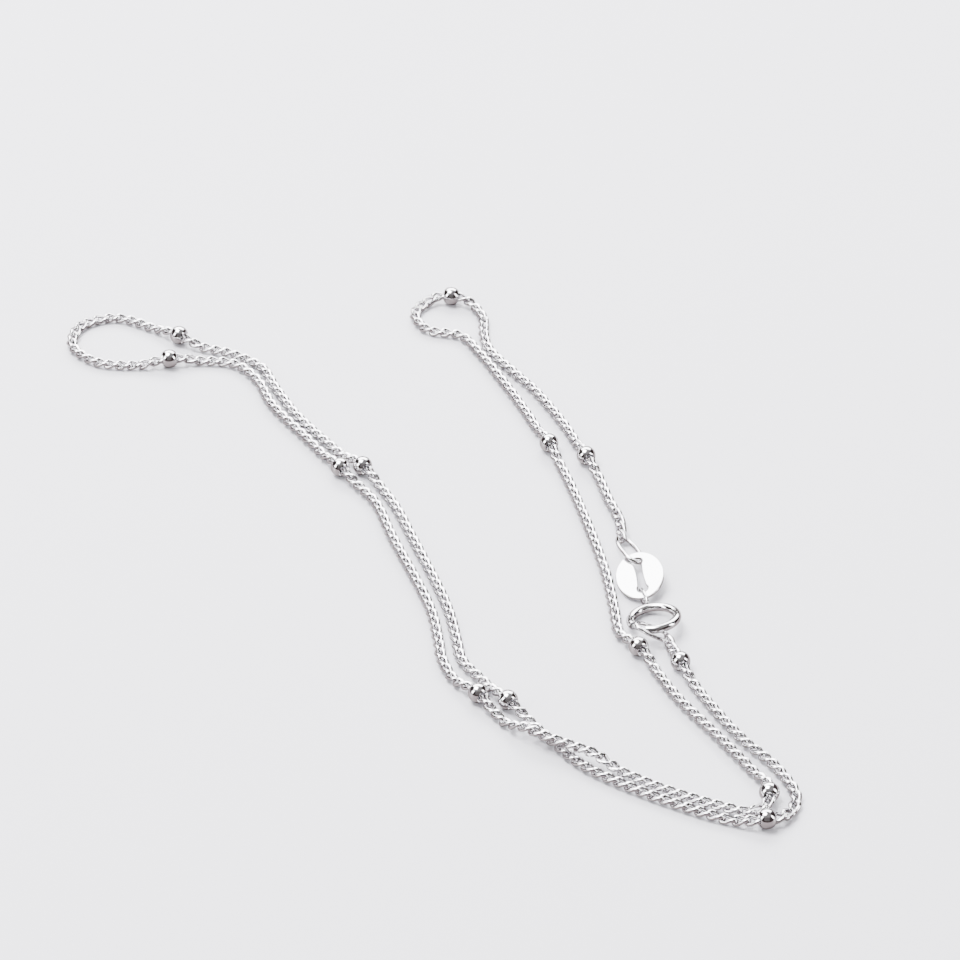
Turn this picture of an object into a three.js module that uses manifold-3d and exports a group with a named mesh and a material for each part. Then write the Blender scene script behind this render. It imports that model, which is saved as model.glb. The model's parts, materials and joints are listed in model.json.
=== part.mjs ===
// Satellite chain necklace: a fine curb chain strung with round beads, closed by a spring ring
// that carries a plain oval tag, lying doubled on a flat surface.
// Millimetres, +Z up, the surface at Z = 0. The chain is a plain tube along its whole route.
import * as THREE from "three";
import { mergeVertices } from "three/addons/utils/BufferGeometryUtils.js";
import Module from "manifold-3d";

const wasm = await Module();
wasm.setup();

// ---------------------------------------------------------------- driving dimensions
const CHAIN_WIDTH = 1.1;
const CHAIN_THICKNESS = 0.8;
const CHAIN_SIDES = 8;
const LINK_COUNT = 330; // link pitches from the tag end to the clasp end
const LINK_WIRE = 0.38;
const LINK_LENGTH = 2.08; // outside
const LINK_WIDTH = 1.25; // outside
const LINK_TWIST = -0.21; // how far each quarter of a link is lifted or dropped

const BEAD_DIAMETER = 2.1;
const BEAD_BORE = 1.34;
// Links from each bead to the next, counted from the chain's tag end.
const BEAD_SPACING = [11, 27, 28, 28, 20, 28, 32, 24, 23, 26, 33, 25, 22];
const BEAD_RAMP = 3.2; // the chain climbs to a bead's centre over this length
const BEAD_MARGIN = 0.1; // the chain stays straight this far past a bead's mouths
const CROSSING_LINK = 133; // here the long strand lies over the short one
const CROSSING_FLAT = 3.4; // half the length that stays lifted
const CROSSING_RAMP = 4.0;
const CROSSING_CLEARANCE = 0.12; // between the two strands there
const FOLD_LINK = 211; // the two strands meet here, in the far left fold
const GAP = 0.3; // between pieces that meet face to face

const RING_OUTER = 5.8; // spring ring
const RING_TUBE = 0.9;
const RING_BORE = 0.68;
const RING_TILT = 11.3; // degrees, near edge raised
const RING_LEAN = 7.5; // degrees, right edge raised
const RING_GAP_AT = 229; // degrees round the ring, from +X
const RING_GAP_ANGLE = 42;
const BOLT_WIRE = 0.46;
const BOLT_TIP = 6; // degrees that the closed bolt enters the far tube end
const BOLT_TAIL = 8; // degrees of bolt behind the trigger
const BOLT_TRAVEL = 48; // degrees
const TRIGGER_AT = 192; // degrees, closed
const TRIGGER_DIAMETER = 0.3;
const TRIGGER_HEIGHT = 0.12; // below the tube's underside
const TRIGGER_PLAY = 0.14; // its slot is this much wider
const TRIGGER_MARGIN = 5; // and runs this many degrees past the travel
const EYE_AT = 104; // degrees
const EYE_WIRE = 0.38;
const EYE_HALF = [1.28, 0.5]; // half length and half height of the eye's centreline
const EYE_RAISE = 0.33; // above the ring's own plane, where it meets the tube
const EYE_PITCH = 8.5; // degrees that its far end is raised
const EYE_TURN = 15.2; // degrees that it leans about its own length
const EYE_SOLDER = 0.14; // how far its centreline reaches into the tube

const TAG_HALF = [3.52, 2.56]; // half length and half width
const TAG_THICKNESS = 0.35;
const SLOT_END_RADIUS = 0.64;
const SLOT_HALF_LENGTH = 2.75;
const SLOT_WAIST = 0.38; // half width at mid length

// Ovals: centre [x, y, z], heading, pitch and roll in degrees, half length and half width of
// the wire's centreline, and the wire's diameter.
const TAG_RING = {
  at: [15.99, 0.66, 0.89], heading: 106.3, pitch: -5.6, roll: 28, half: [2.53, 1.25], wire: 0.44,
};
const END_RING = {
  at: [18.18, -13.38, 1.16], heading: -10.4, pitch: -22.6, roll: -13.7, half: [2.1, 1.0], wire: 0.4,
};
const CLASP_AT = [18.2, -11.13, 1.17];
const TAG = { at: [16.96, -3.86, 0.97], heading: 96.8, pitch: 3.3, roll: -13.5 };
const TAG_LINK = { height: 0.64, roll: 98.7 };
const CLASP_LINK = { height: 0.7, roll: -54.4 };

// The chain's route over the surface, from the tag's end link to the clasp's end link.
const ROUTE = [
  [15.24, 3.31], [15.0, 6.4], [13.9, 9.9], [12.9, 13.8], [11.4, 17.7], [9.7, 22.4], [6.3, 29.4],
  [1.0, 37.6],
  // right fold
  [0.4, 40.4], [0.2, 44.0], [-1.6, 46.8], [-5.2, 47.3], [-7.5, 44.6], [-6.2, 41.6],
  [-2.2, 40.2], [-0.4, 37.4],
  // long strand, down past the clasp
  [3.2, 30.0], [5.9, 23.6], [7.8, 18.8], [10.0, 11.7], [13.2, -2.2], [14.1, -9.2],
  [14.5, -12.6], [15.4, -14.2], [16.8, -15.9], [18.5, -19.6], [20.3, -23.2], [24.0, -28.9],
  // near tip, inner strand, and back to the crossing
  [27.2, -34.0], [28.5, -36.1], [29.0, -38.1], [28.4, -39.7], [26.7, -40.3], [23.9, -39.5],
  [18.0, -36.8], [12.1, -33.1], [9.0, -31.4], [6.2, -29.9], [3.2, -27.6], [1.1, -25.0],
  [-0.1, -23.0], [-2.7, -20.2], [-4.0, -17.0], [-4.4, -14.0], [-5.3, -8.8], [-9.6, 3.6],
  [-11.6, 9.6], [-15.0, 14.4], [-19.4, 21.0], [-23.5, 27.3], [-25.3, 31.8], [-28.0, 34.8],
  [-32.8, 35.4],
  // left fold
  [-38.6, 34.6], [-43.6, 35.2], [-46.6, 38.4], [-45.8, 42.2], [-42.2, 43.8], [-37.6, 41.8],
  [-32.6, 38.4], [-28.4, 36.8],
  // short strand, down to the crossing
  [-25.0, 34.3], [-23.1, 30.2], [-20.6, 25.2], [-16.1, 18.9], [-12.8, 15.1], [-9.6, 9.4],
  [-7.5, 3.6], [-3.5, -8.6], [-2.5, -14.0], [-1.9, -17.2], [0.4, -20.6], [2.5, -23.6],
  [4.7, -26.4],
  // near tip, outer strand, and up to the clasp
  [7.0, -29.5], [10.2, -33.3], [14.0, -36.1], [19.9, -39.4], [24.4, -41.4], [28.0, -42.2],
  [30.6, -40.8], [31.5, -38.2], [29.9, -34.0], [26.2, -28.9], [21.7, -20.4], [20.5, -17.2],
  [19.52, -14.2],
];

const UP = new THREE.Vector3(0, 0, 1);
const degrees = THREE.MathUtils.degToRad;

// ---------------------------------------------------------------- materials
const silver = new THREE.MeshStandardMaterial({ color: 0xe4e2e8, metalness: 1, roughness: 0.12 });
const beadSilver = new THREE.MeshStandardMaterial({ color: 0xe6e4e8, metalness: 1, roughness: 0.08 });
const tagSilver = new THREE.MeshStandardMaterial({ color: 0xf0eff4, metalness: 1, roughness: 0.16 });
const springSteel = new THREE.MeshStandardMaterial({ color: 0xc4c3c8, metalness: 1, roughness: 0.2 });

// ---------------------------------------------------------------- the chain's route
const plan = new THREE.CatmullRomCurve3(
  ROUTE.map(([x, y]) => new THREE.Vector3(x, y, 0)), false, "centripetal");
plan.arcLengthDivisions = 6000;
const CHAIN_LENGTH = plan.getLength();
const LINK_PITCH = CHAIN_LENGTH / LINK_COUNT;

let counted = 0;
const beadPlaces = BEAD_SPACING.map((links) => (counted += links) * LINK_PITCH);
const crossing = CROSSING_LINK * LINK_PITCH;

// A rise that is full within `flat` of its middle and fades out over `ramp` more.
function rise(distance, flat, ramp) {
  const beyond = THREE.MathUtils.clamp((Math.abs(distance) - flat) / ramp, 0, 1);
  return 0.5 + 0.5 * Math.cos(Math.PI * beyond);
}

// Half the length of chain that a bead keeps straight: its own half length and a little more.
const beadHalf = Math.sqrt(BEAD_DIAMETER ** 2 - BEAD_BORE ** 2) / 2 + BEAD_MARGIN;

function heightAt(s) {
  const low = CHAIN_THICKNESS / 2;
  const toBead = BEAD_DIAMETER / 2 - low;
  const toCrossing = CHAIN_THICKNESS + CROSSING_CLEARANCE;
  let height = low;
  for (const place of beadPlaces) {
    height = Math.max(height, low + toBead * rise(s - place, beadHalf, BEAD_RAMP));
  }
  return Math.max(height, low + toCrossing * rise(s - crossing, CROSSING_FLAT, CROSSING_RAMP));
}

const along = (s) => THREE.MathUtils.clamp(s / CHAIN_LENGTH, 0, 1);
const beadOver = (s) => beadPlaces.find((place) => Math.abs(s - place) < beadHalf + 1e-6);

// The chain's middle at a distance along it, straight inside each bead.
function placeAt(s) {
  const bead = beadOver(s);
  if (bead === undefined) return plan.getPointAt(along(s)).setZ(heightAt(s));
  const start = plan.getPointAt(along(bead - beadHalf));
  const end = plan.getPointAt(along(bead + beadHalf));
  return start.lerp(end, (s - bead + beadHalf) / (2 * beadHalf)).setZ(heightAt(s));
}

function headingAt(s) {
  const bead = beadOver(s);
  if (bead === undefined) return plan.getTangentAt(along(s));
  const start = plan.getPointAt(along(bead - beadHalf));
  return plan.getPointAt(along(bead + beadHalf)).sub(start).normalize();
}

// Sections of the chain's tube: at each end, before, at and after each bead and the crossing,
// and closer together where the route turns.
function sectionsBetween(from, to) {
  const longest = 12;
  const sharpest = degrees(28);
  const marks = [from, to];
  const addAround = (middle, offsets) => {
    for (const offset of offsets) {
      for (const s of [middle - offset, middle + offset]) {
        if (s > from + 0.5 && s < to - 0.5) marks.push(s);
      }
    }
  };
  for (const place of beadPlaces) addAround(place, [beadHalf, beadHalf + BEAD_RAMP]);
  addAround(crossing, [CROSSING_FLAT, CROSSING_FLAT + CROSSING_RAMP]);
  marks.sort((a, b) => a - b);
  const sections = [from];
  for (let i = 1; i < marks.length; i += 1) {
    const span = marks[i] - marks[i - 1];
    let turn = 0;
    const samples = Math.ceil(span / 0.5);
    for (let k = 0; k < samples; k += 1) {
      const here = marks[i - 1] + (span * k) / samples;
      turn += headingAt(here).angleTo(headingAt(here + span / samples));
    }
    const steps = Math.max(1, Math.ceil(span / longest), Math.round(turn / sharpest));
    for (let k = 1; k <= steps; k += 1) sections.push(marks[i - 1] + (span * k) / steps);
  }
  return sections;
}

// A path through given sections, with the tube's section kept level across the path.
class SectionPath extends THREE.Curve {
  constructor(points, tangents) {
    super();
    this.points = points;
    this.tangents = tangents;
  }

  getPointAt(u, target = new THREE.Vector3()) {
    return target.copy(this.points[Math.round(u * (this.points.length - 1))]);
  }

  computeFrenetFrames() {
    const normals = this.tangents.map((t) => new THREE.Vector3().crossVectors(UP, t).normalize());
    const binormals = this.tangents.map((t, i) => new THREE.Vector3().crossVectors(t, normals[i]));
    return { tangents: this.tangents, normals, binormals };
  }
}

function chainTube(from, to) {
  const sections = sectionsBetween(from, to);
  const points = sections.map(placeAt);
  const tangents = sections.map((s) => {
    const slope = (heightAt(s + 0.05) - heightAt(s - 0.05)) / 0.1;
    return headingAt(s).setZ(slope).normalize();
  });
  const shape = new THREE.Shape();
  const corner = Math.cos(Math.PI / CHAIN_SIDES);
  for (let i = 0; i < CHAIN_SIDES; i += 1) {
    const angle = ((i + 0.5) / CHAIN_SIDES) * Math.PI * 2;
    const x = (Math.cos(angle) * CHAIN_WIDTH) / 2 / corner;
    const y = (Math.sin(angle) * CHAIN_THICKNESS) / 2 / corner;
    if (i === 0) shape.moveTo(x, y);
    else shape.lineTo(x, y);
  }
  shape.closePath();
  return new THREE.ExtrudeGeometry(shape, {
    steps: sections.length - 1,
    bevelEnabled: false,
    extrudePath: new SectionPath(points, tangents),
  });
}

// ---------------------------------------------------------------- rings and links
// A closed oval; with a twist, its quarters rise and drop in turn as a curb link's do.
class Oval extends THREE.Curve {
  constructor(halfLength, halfWidth, twist = 0) {
    super();
    this.halfLength = halfLength;
    this.halfWidth = halfWidth;
    this.twist = twist;
  }

  getPoint(t, target = new THREE.Vector3()) {
    const angle = t * Math.PI * 2;
    return target.set(
      this.halfLength * Math.cos(angle), this.halfWidth * Math.sin(angle), this.twist * Math.sin(2 * angle));
  }
}

function ovalRing({ half, wire }, steps, sides) {
  return new THREE.TubeGeometry(new Oval(...half), steps, wire / 2, sides, true);
}

function curbLink() {
  const path = new Oval((LINK_LENGTH - LINK_WIRE) / 2, (LINK_WIDTH - LINK_WIRE) / 2, LINK_TWIST);
  return new THREE.TubeGeometry(path, 16, LINK_WIRE / 2, 6, true);
}

function bead() {
  const profile = [];
  const steps = 8;
  const reach = Math.acos(BEAD_BORE / BEAD_DIAMETER);
  for (let i = 0; i <= steps; i += 1) {
    const angle = -reach + (2 * reach * i) / steps;
    const radius = BEAD_DIAMETER / 2;
    profile.push(new THREE.Vector2(radius * Math.cos(angle), radius * Math.sin(angle)));
  }
  profile.push(profile[0].clone());
  return new THREE.LatheGeometry(profile, 16);
}

// ---------------------------------------------------------------- joins and cuts
function solid(geometry) {
  const bare = geometry.index ? geometry.clone() : geometry;
  bare.deleteAttribute("normal");
  bare.deleteAttribute("uv");
  const merged = mergeVertices(bare, 1e-5);
  return new wasm.Manifold(new wasm.Mesh({
    numProp: 3,
    vertProperties: new Float32Array(merged.attributes.position.array),
    triVerts: new Uint32Array(merged.index.array),
  }));
}

function geometryOf(manifold) {
  const mesh = manifold.getMesh();
  const geometry = new THREE.BufferGeometry();
  geometry.setAttribute("position", new THREE.BufferAttribute(mesh.vertProperties, 3));
  geometry.setIndex(new THREE.BufferAttribute(mesh.triVerts, 1));
  geometry.computeVertexNormals();
  return geometry;
}

// ---------------------------------------------------------------- spring ring
const ringRadius = (RING_OUTER - RING_TUBE) / 2;

// An arc about the ring's axis, from one angle to another, in degrees.
class RingArc extends THREE.Curve {
  constructor(from, to) {
    super();
    this.from = degrees(from);
    this.to = degrees(to);
  }

  getPoint(t, target = new THREE.Vector3()) {
    const angle = this.from + (this.to - this.from) * t;
    return target.set(ringRadius * Math.cos(angle), ringRadius * Math.sin(angle), 0);
  }

  computeFrenetFrames(steps) {
    const tangents = [];
    const normals = [];
    const binormals = [];
    for (let i = 0; i <= steps; i += 1) {
      const outward = this.getPoint(i / steps).normalize();
      tangents.push(new THREE.Vector3().crossVectors(UP, outward));
      normals.push(outward);
      binormals.push(UP.clone().negate());
    }
    return { tangents, normals, binormals };
  }
}

function sweep(shape, from, to, steps) {
  return new THREE.ExtrudeGeometry(shape, {
    steps, bevelEnabled: false, curveSegments: 12, extrudePath: new RingArc(from, to),
  });
}

function disc(diameter, sides) {
  const shape = new THREE.Shape();
  for (let i = 0; i < sides; i += 1) {
    const angle = (i / sides) * Math.PI * 2;
    const x = (diameter / 2) * Math.cos(angle);
    const y = (diameter / 2) * Math.sin(angle);
    if (i === 0) shape.moveTo(x, y);
    else shape.lineTo(x, y);
  }
  shape.closePath();
  return shape;
}

const gapFrom = RING_GAP_AT - RING_GAP_ANGLE / 2;
const gapTo = RING_GAP_AT + RING_GAP_ANGLE / 2;

// The hollow tube with its gap, the trigger's slot underneath, and the soldered eye.
function claspRing() {
  const section = disc(RING_TUBE, 12);
  section.holes.push(disc(RING_BORE, 12));
  const tube = solid(sweep(section, gapTo - 360, gapFrom, 36));

  const slotWidth = TRIGGER_DIAMETER + TRIGGER_PLAY;
  const slotFrom = TRIGGER_AT - BOLT_TRAVEL - TRIGGER_MARGIN;
  const slotTo = TRIGGER_AT + TRIGGER_MARGIN;
  const slot = new THREE.Shape();
  // In the sweep's section, x points outward and y points down.
  slot.moveTo(-slotWidth / 2, 0);
  slot.lineTo(slotWidth / 2, 0);
  slot.lineTo(slotWidth / 2, RING_TUBE);
  slot.lineTo(-slotWidth / 2, RING_TUBE);
  slot.closePath();
  const slotCut = solid(sweep(slot, slotFrom, slotTo, 10));

  const eye = ovalRing({ half: EYE_HALF, wire: EYE_WIRE }, 18, 8);
  eye.rotateX(Math.PI / 2 + degrees(EYE_TURN));
  eye.translate(EYE_HALF[0], 0, 0);
  eye.rotateY(-degrees(EYE_PITCH));
  eye.translate(RING_OUTER / 2 - EYE_SOLDER, 0, EYE_RAISE);
  eye.rotateZ(degrees(EYE_AT));
  return geometryOf(tube.subtract(slotCut).add(solid(eye)));
}

// The sliding bolt: a curved wire whose tip closes the gap, and its trigger under the ring.
function claspBolt() {
  const tail = TRIGGER_AT - BOLT_TAIL;
  const wire = solid(sweep(disc(BOLT_WIRE, 8), tail, gapTo + BOLT_TIP, 16));
  const height = RING_TUBE / 2 + TRIGGER_HEIGHT;
  const trigger = new THREE.CylinderGeometry(TRIGGER_DIAMETER / 2, TRIGGER_DIAMETER / 2, height, 10);
  trigger.rotateX(Math.PI / 2);
  trigger.translate(ringRadius, 0, -height / 2);
  trigger.rotateZ(degrees(TRIGGER_AT));
  return geometryOf(wire.add(solid(trigger)));
}

// ---------------------------------------------------------------- tag
function tagPlate() {
  const [halfLength, halfWidth] = TAG_HALF;
  const plate = new THREE.Shape();
  plate.absellipse(0, 0, halfLength, halfWidth, 0, Math.PI * 2, false, 0);
  const slot = new THREE.Path();
  const end = SLOT_HALF_LENGTH - SLOT_END_RADIUS;
  const open = degrees(130); // half the arc of each round end
  slot.absarc(end, 0, SLOT_END_RADIUS, -open, open, false);
  const shoulder = end + SLOT_END_RADIUS * Math.cos(open);
  const side = SLOT_END_RADIUS * Math.sin(open);
  const bow = 2 * SLOT_WAIST - side;
  slot.quadraticCurveTo(0, bow, -shoulder, side);
  slot.absarc(-end, 0, SLOT_END_RADIUS, Math.PI - open, Math.PI + open, false);
  slot.quadraticCurveTo(0, -bow, shoulder, -side);
  plate.holes.push(slot);
  const geometry = new THREE.ExtrudeGeometry(plate, {
    depth: TAG_THICKNESS, bevelEnabled: false, curveSegments: 18,
  });
  return geometry.translate(0, 0, -TAG_THICKNESS / 2);
}

// ---------------------------------------------------------------- assembly
const necklace = new THREE.Group();

// heading turns the piece's long axis about Z, pitch raises its far end, roll its left side.
function add(name, geometry, material, { at, heading = 0, pitch = 0, roll = 0 }, parent = necklace) {
  const mesh = new THREE.Mesh(geometry, material);
  mesh.name = name;
  mesh.position.set(...at);
  mesh.rotation.set(degrees(roll), -degrees(pitch), degrees(heading), "ZYX");
  parent.add(mesh);
  return mesh;
}

const atOrigin = { at: [0, 0, 0] };
const linkReach = LINK_LENGTH / 2 + GAP;
const foldAt = FOLD_LINK * LINK_PITCH;
add("chain_long_strand", chainTube(linkReach, foldAt - GAP / 2), silver, atOrigin);
add("chain_short_strand", chainTube(foldAt + GAP / 2, CHAIN_LENGTH - linkReach), silver, atOrigin);

beadPlaces.forEach((s, index) => {
  const place = placeAt(s);
  const heading = THREE.MathUtils.radToDeg(Math.atan2(headingAt(s).y, headingAt(s).x));
  const geometry = bead().rotateZ(-Math.PI / 2);
  const name = `bead_${String(index + 1).padStart(2, "0")}`;
  add(name, geometry, beadSilver, { at: place.toArray(), heading });
});

for (const [name, s, { height, roll }] of [
  ["chain_end_link_tag", 0, TAG_LINK],
  ["chain_end_link_clasp", CHAIN_LENGTH, CLASP_LINK],
]) {
  const place = placeAt(s).setZ(height);
  const heading = THREE.MathUtils.radToDeg(Math.atan2(headingAt(s).y, headingAt(s).x));
  add(name, curbLink(), silver, { at: place.toArray(), heading, roll });
}

add("tag_jump_ring", ovalRing(TAG_RING, 28, 8), silver, TAG_RING);
add("end_jump_ring", ovalRing(END_RING, 28, 8), silver, END_RING);
add("oval_tag", tagPlate(), tagSilver, TAG);

const clasp = new THREE.Group();
clasp.position.set(...CLASP_AT);
clasp.rotation.set(-degrees(RING_TILT), -degrees(RING_LEAN), 0, "YXZ");
necklace.add(clasp);
add("clasp_ring", claspRing(), silver, atOrigin, clasp);
add("clasp_bolt", claspBolt(), springSteel, atOrigin, clasp);

// The origin is under the middle of the necklace as it lies.
const bounds = new THREE.Box3().setFromObject(necklace, true);
necklace.position.set(-(bounds.min.x + bounds.max.x) / 2, -(bounds.min.y + bounds.max.y) / 2, 0);
necklace.updateMatrixWorld(true);

export default necklace;
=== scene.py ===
"""Satellite chain necklace, dressed over its packed CAD frame.

A fine silver curb chain strung with round beads, closed by a spring ring that carries a plain oval
tag, lying doubled on a pale surface. Sizes are in millimetres until a piece is finished; finished
pieces are in metres, in the frame's own axes.
"""
import json
import math
import random
from bisect import bisect_right
from collections import namedtuple

import bmesh
import bpy
from mathutils import Matrix, Vector


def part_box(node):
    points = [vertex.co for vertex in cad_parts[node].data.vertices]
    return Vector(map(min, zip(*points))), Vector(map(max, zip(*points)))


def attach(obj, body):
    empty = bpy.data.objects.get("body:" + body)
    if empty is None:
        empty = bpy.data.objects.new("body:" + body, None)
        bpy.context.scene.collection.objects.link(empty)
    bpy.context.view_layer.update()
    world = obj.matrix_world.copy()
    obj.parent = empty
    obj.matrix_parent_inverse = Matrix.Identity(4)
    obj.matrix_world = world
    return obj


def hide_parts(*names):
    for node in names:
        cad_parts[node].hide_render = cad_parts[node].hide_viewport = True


bl_info = {
    "name": "Satellite Chain Necklace",
    "version": (1, 0, 0),
    "blender": (4, 5, 0),
    "location": "View3D > Sidebar > Necklace",
    "description": "Dresses the packed necklace with links, beads, rings, tag and clasp",
    "category": "Object",
}

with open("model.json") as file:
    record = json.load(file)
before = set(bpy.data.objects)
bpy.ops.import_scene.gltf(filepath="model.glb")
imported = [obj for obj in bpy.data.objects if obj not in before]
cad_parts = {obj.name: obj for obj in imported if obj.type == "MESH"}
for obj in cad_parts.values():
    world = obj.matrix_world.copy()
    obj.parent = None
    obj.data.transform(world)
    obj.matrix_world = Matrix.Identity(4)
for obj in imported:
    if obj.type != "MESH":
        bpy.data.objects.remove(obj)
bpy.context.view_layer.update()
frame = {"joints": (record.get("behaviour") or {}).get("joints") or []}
MM = 0.001
UP = Vector((0, 0, 1))
BODY = "necklace"
BOLT_BODY = "bolt"
SHARP = math.radians(50)  # edges of turned metal stay sharp over this angle
CORNER = 1.0  # edges that turn by more than this many radians are rounded

# ---------------------------------------------------------------- the chain's route, in millimetres
# The chain's plan, from the tag's end link to the clasp's end link.
ROUTE = [
    (15.24, 3.31), (15.0, 6.4), (13.9, 9.9), (12.9, 13.8), (11.4, 17.7), (9.7, 22.4), (6.3, 29.4),
    (1.0, 37.6),
    # right fold
    (0.4, 40.4), (0.2, 44.0), (-1.6, 46.8), (-5.2, 47.3), (-7.5, 44.6), (-6.2, 41.6),
    (-2.2, 40.2), (-0.4, 37.4),
    # long strand, down past the clasp
    (3.2, 30.0), (5.9, 23.6), (7.8, 18.8), (10.0, 11.7), (13.2, -2.2), (14.1, -9.2),
    (14.5, -12.6), (15.4, -14.2), (16.8, -15.9), (18.5, -19.6), (20.3, -23.2), (24.0, -28.9),
    # near tip, inner strand, and back to the crossing
    (27.2, -34.0), (28.5, -36.1), (29.0, -38.1), (28.4, -39.7), (26.7, -40.3), (23.9, -39.5),
    (18.0, -36.8), (12.1, -33.1), (9.0, -31.4), (6.2, -29.9), (3.2, -27.6), (1.1, -25.0),
    (-0.1, -23.0), (-2.7, -20.2), (-4.0, -17.0), (-4.4, -14.0), (-5.3, -8.8), (-9.6, 3.6),
    (-11.6, 9.6), (-15.0, 14.4), (-19.4, 21.0), (-23.5, 27.3), (-25.3, 31.8), (-28.0, 34.8),
    (-32.8, 35.4),
    # left fold
    (-38.6, 34.6), (-43.6, 35.2), (-46.6, 38.4), (-45.8, 42.2), (-42.2, 43.8), (-37.6, 41.8),
    (-32.6, 38.4), (-28.4, 36.8),
    # short strand, down to the crossing
    (-25.0, 34.3), (-23.1, 30.2), (-20.6, 25.2), (-16.1, 18.9), (-12.8, 15.1), (-9.6, 9.4),
    (-7.5, 3.6), (-3.5, -8.6), (-2.5, -14.0), (-1.9, -17.2), (0.4, -20.6), (2.5, -23.6),
    (4.7, -26.4),
    # near tip, outer strand, and up to the clasp
    (7.0, -29.5), (10.2, -33.3), (14.0, -36.1), (19.9, -39.4), (24.4, -41.4), (28.0, -42.2),
    (30.6, -40.8), (31.5, -38.2), (29.9, -34.0), (26.2, -28.9), (21.7, -20.4), (20.5, -17.2),
    (19.52, -14.2),
]
LINK_COUNT = 330  # link pitches from the tag end to the clasp end
# Links from each bead to the next, counted from the chain's tag end.
BEAD_SPACING = [11, 27, 28, 28, 20, 28, 32, 24, 23, 26, 33, 25, 22]
BEAD_RAMP = 3.2  # the chain climbs to a bead's hole over this length
BEAD_MARGIN = 0.1  # the chain stays straight this far past a bead's mouths
BEAD_SAG = 0.08  # the chain lies this far below the middle of a bead's hole
CROSSING_LINK = 133  # here the long strand lies over the short one
CROSSING_FLAT = 3.4  # it stays up this far either side of the crossing
CROSSING_RAMP = 4.0  # and comes down over this length
CROSSING_CLEARANCE = 0.12  # between the two strands
FOLD_LINK = 211  # the two strands meet here, in the far left fold


class Route:
    """The chain's middle line: a centripetal spline in plan, with its height over the surface."""

    samples_per_span = 60
    # The heading and the slope are measured this far each way.
    heading_reach = 0.02
    slope_reach = 0.05
    tolerance = 1e-6  # over any rounding error

    def __init__(self, bead_diameter, bead_bore, chain_thickness):
        self.low = chain_thickness / 2
        self.thickness = chain_thickness
        self.bead_height = bead_diameter / 2
        self.to_bead = self.bead_height - BEAD_SAG - self.low
        self.bead_half = math.sqrt(bead_diameter ** 2 - bead_bore ** 2) / 2 + BEAD_MARGIN
        self.spots = self.sample([Vector((x, y, 0)) for x, y in ROUTE])
        self.ways = [0.0]
        for before, after in zip(self.spots, self.spots[1:]):
            self.ways.append(self.ways[-1] + (after - before).length)
        self.length = self.ways[-1]
        self.pitch = self.length / LINK_COUNT
        counted = 0
        self.bead_ways = []
        for links in BEAD_SPACING:
            counted += links
            self.bead_ways.append(counted * self.pitch)
        self.crossing = CROSSING_LINK * self.pitch

    def sample(self, points):
        ends = [2 * points[0] - points[1], *points, 2 * points[-1] - points[-2]]
        spots = []
        for before, start, end, after in zip(ends, ends[1:], ends[2:], ends[3:]):
            gaps = [math.sqrt((b - a).length) for a, b in ((before, start), (start, end), (end, after))]
            leave = ((start - before) / gaps[0] - (end - before) / (gaps[0] + gaps[1])
                     + (end - start) / gaps[1]) * gaps[1]
            arrive = ((end - start) / gaps[1] - (after - start) / (gaps[1] + gaps[2])
                      + (after - end) / gaps[2]) * gaps[1]
            for step in range(self.samples_per_span):
                t = step / self.samples_per_span
                cubic = 2 * start - 2 * end + leave + arrive
                square = 3 * end - 3 * start - 2 * leave - arrive
                spots.append(start + leave * t + square * t ** 2 + cubic * t ** 3)
        spots.append(points[-1])
        return spots

    def plan_at(self, way):
        way = min(max(way, 0.0), self.length)
        index = min(bisect_right(self.ways, way), len(self.ways) - 1)
        share = (way - self.ways[index - 1]) / (self.ways[index] - self.ways[index - 1])
        return self.spots[index - 1].lerp(self.spots[index], share)

    def rise(self, distance, flat, ramp):
        """1 within flat of the middle, falling smoothly to 0 over ramp."""
        beyond = min(max((abs(distance) - flat) / ramp, 0.0), 1.0)
        return 0.5 + 0.5 * math.cos(math.pi * beyond)

    def height_at(self, way):
        height = self.low
        for bead in self.bead_ways:
            height = max(height, self.low + self.to_bead * self.rise(way - bead, self.bead_half, BEAD_RAMP))
        over = self.thickness + CROSSING_CLEARANCE
        return max(height, self.low + over * self.rise(way - self.crossing, CROSSING_FLAT, CROSSING_RAMP))

    def bead_over(self, way):
        near = [bead for bead in self.bead_ways if abs(way - bead) < self.bead_half + self.tolerance]
        return near[0] if near else None

    def place_at(self, way):
        """The chain's middle at a distance along it, straight inside each bead."""
        bead = self.bead_over(way)
        if bead is None:
            place = self.plan_at(way)
        else:
            start, end = self.plan_at(bead - self.bead_half), self.plan_at(bead + self.bead_half)
            place = start.lerp(end, (way - bead + self.bead_half) / (2 * self.bead_half))
        return Vector((place.x, place.y, self.height_at(way)))

    def heading_at(self, way):
        """Angle of the chain about Z."""
        bead = self.bead_over(way)
        middle, reach = (way, self.heading_reach) if bead is None else (bead, self.bead_half)
        along = self.plan_at(middle + reach) - self.plan_at(middle - reach)
        return math.atan2(along.y, along.x)

    def slope_at(self, way):
        """How steeply the chain climbs, as an angle."""
        climb = self.height_at(way + self.slope_reach) - self.height_at(way - self.slope_reach)
        return math.atan(climb / (2 * self.slope_reach))


# ---------------------------------------------------------------- sizes and colours
def length(name, description, millimetres):
    return bpy.props.FloatProperty(
        name=name, description=description, default=millimetres * MM, min=0.0, precision=5, unit="LENGTH")


def angle(name, description, in_degrees):
    return bpy.props.FloatProperty(
        name=name, description=description, default=math.radians(in_degrees), unit="ROTATION")


def colour(name, description, red, green, blue):
    return bpy.props.FloatVectorProperty(
        name=name, description=description, default=(red, green, blue), size=3, min=0.0, max=1.0,
        subtype="COLOR")


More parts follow.
